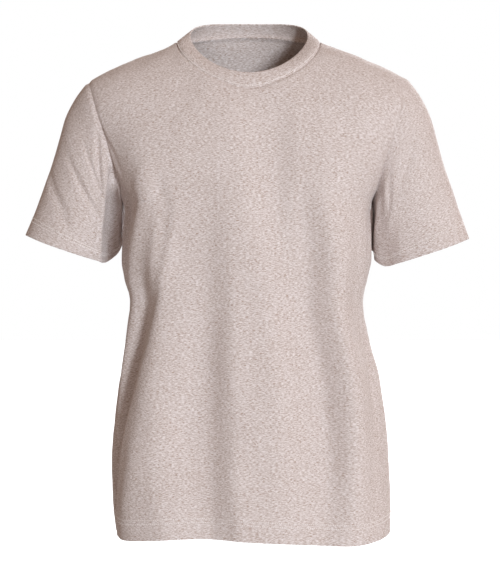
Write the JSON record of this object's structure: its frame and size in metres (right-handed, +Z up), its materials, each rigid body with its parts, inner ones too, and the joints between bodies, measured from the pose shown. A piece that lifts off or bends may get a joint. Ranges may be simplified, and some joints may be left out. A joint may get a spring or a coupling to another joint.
{
  "type": "crew neck t-shirt",
  "caption": "Short-sleeved crew neck t-shirt of heather jersey in its worn, hollow shape, with a narrow ribbed neck band, set-in sleeves and a straight hem.",
  "frame": {"origin": "middle of the neck, at the height where the inner edge of the neck band passes over the shoulders", "axes": "+Z up, front faces -Y, +X to the wearer's left"},
  "size_m": [0.63, 0.2374, 0.7385],
  "materials": {
    "jersey": "matt oatmeal heather single jersey, slightly fuzzy",
    "rib": "matt oatmeal heather fine rib"
  },
  "bodies": {
    "root": {"front": "jersey", "back": "jersey", "sleeve_right": "jersey", "sleeve_left": "jersey", "collar": "rib"}
  },
  "joints": []
}
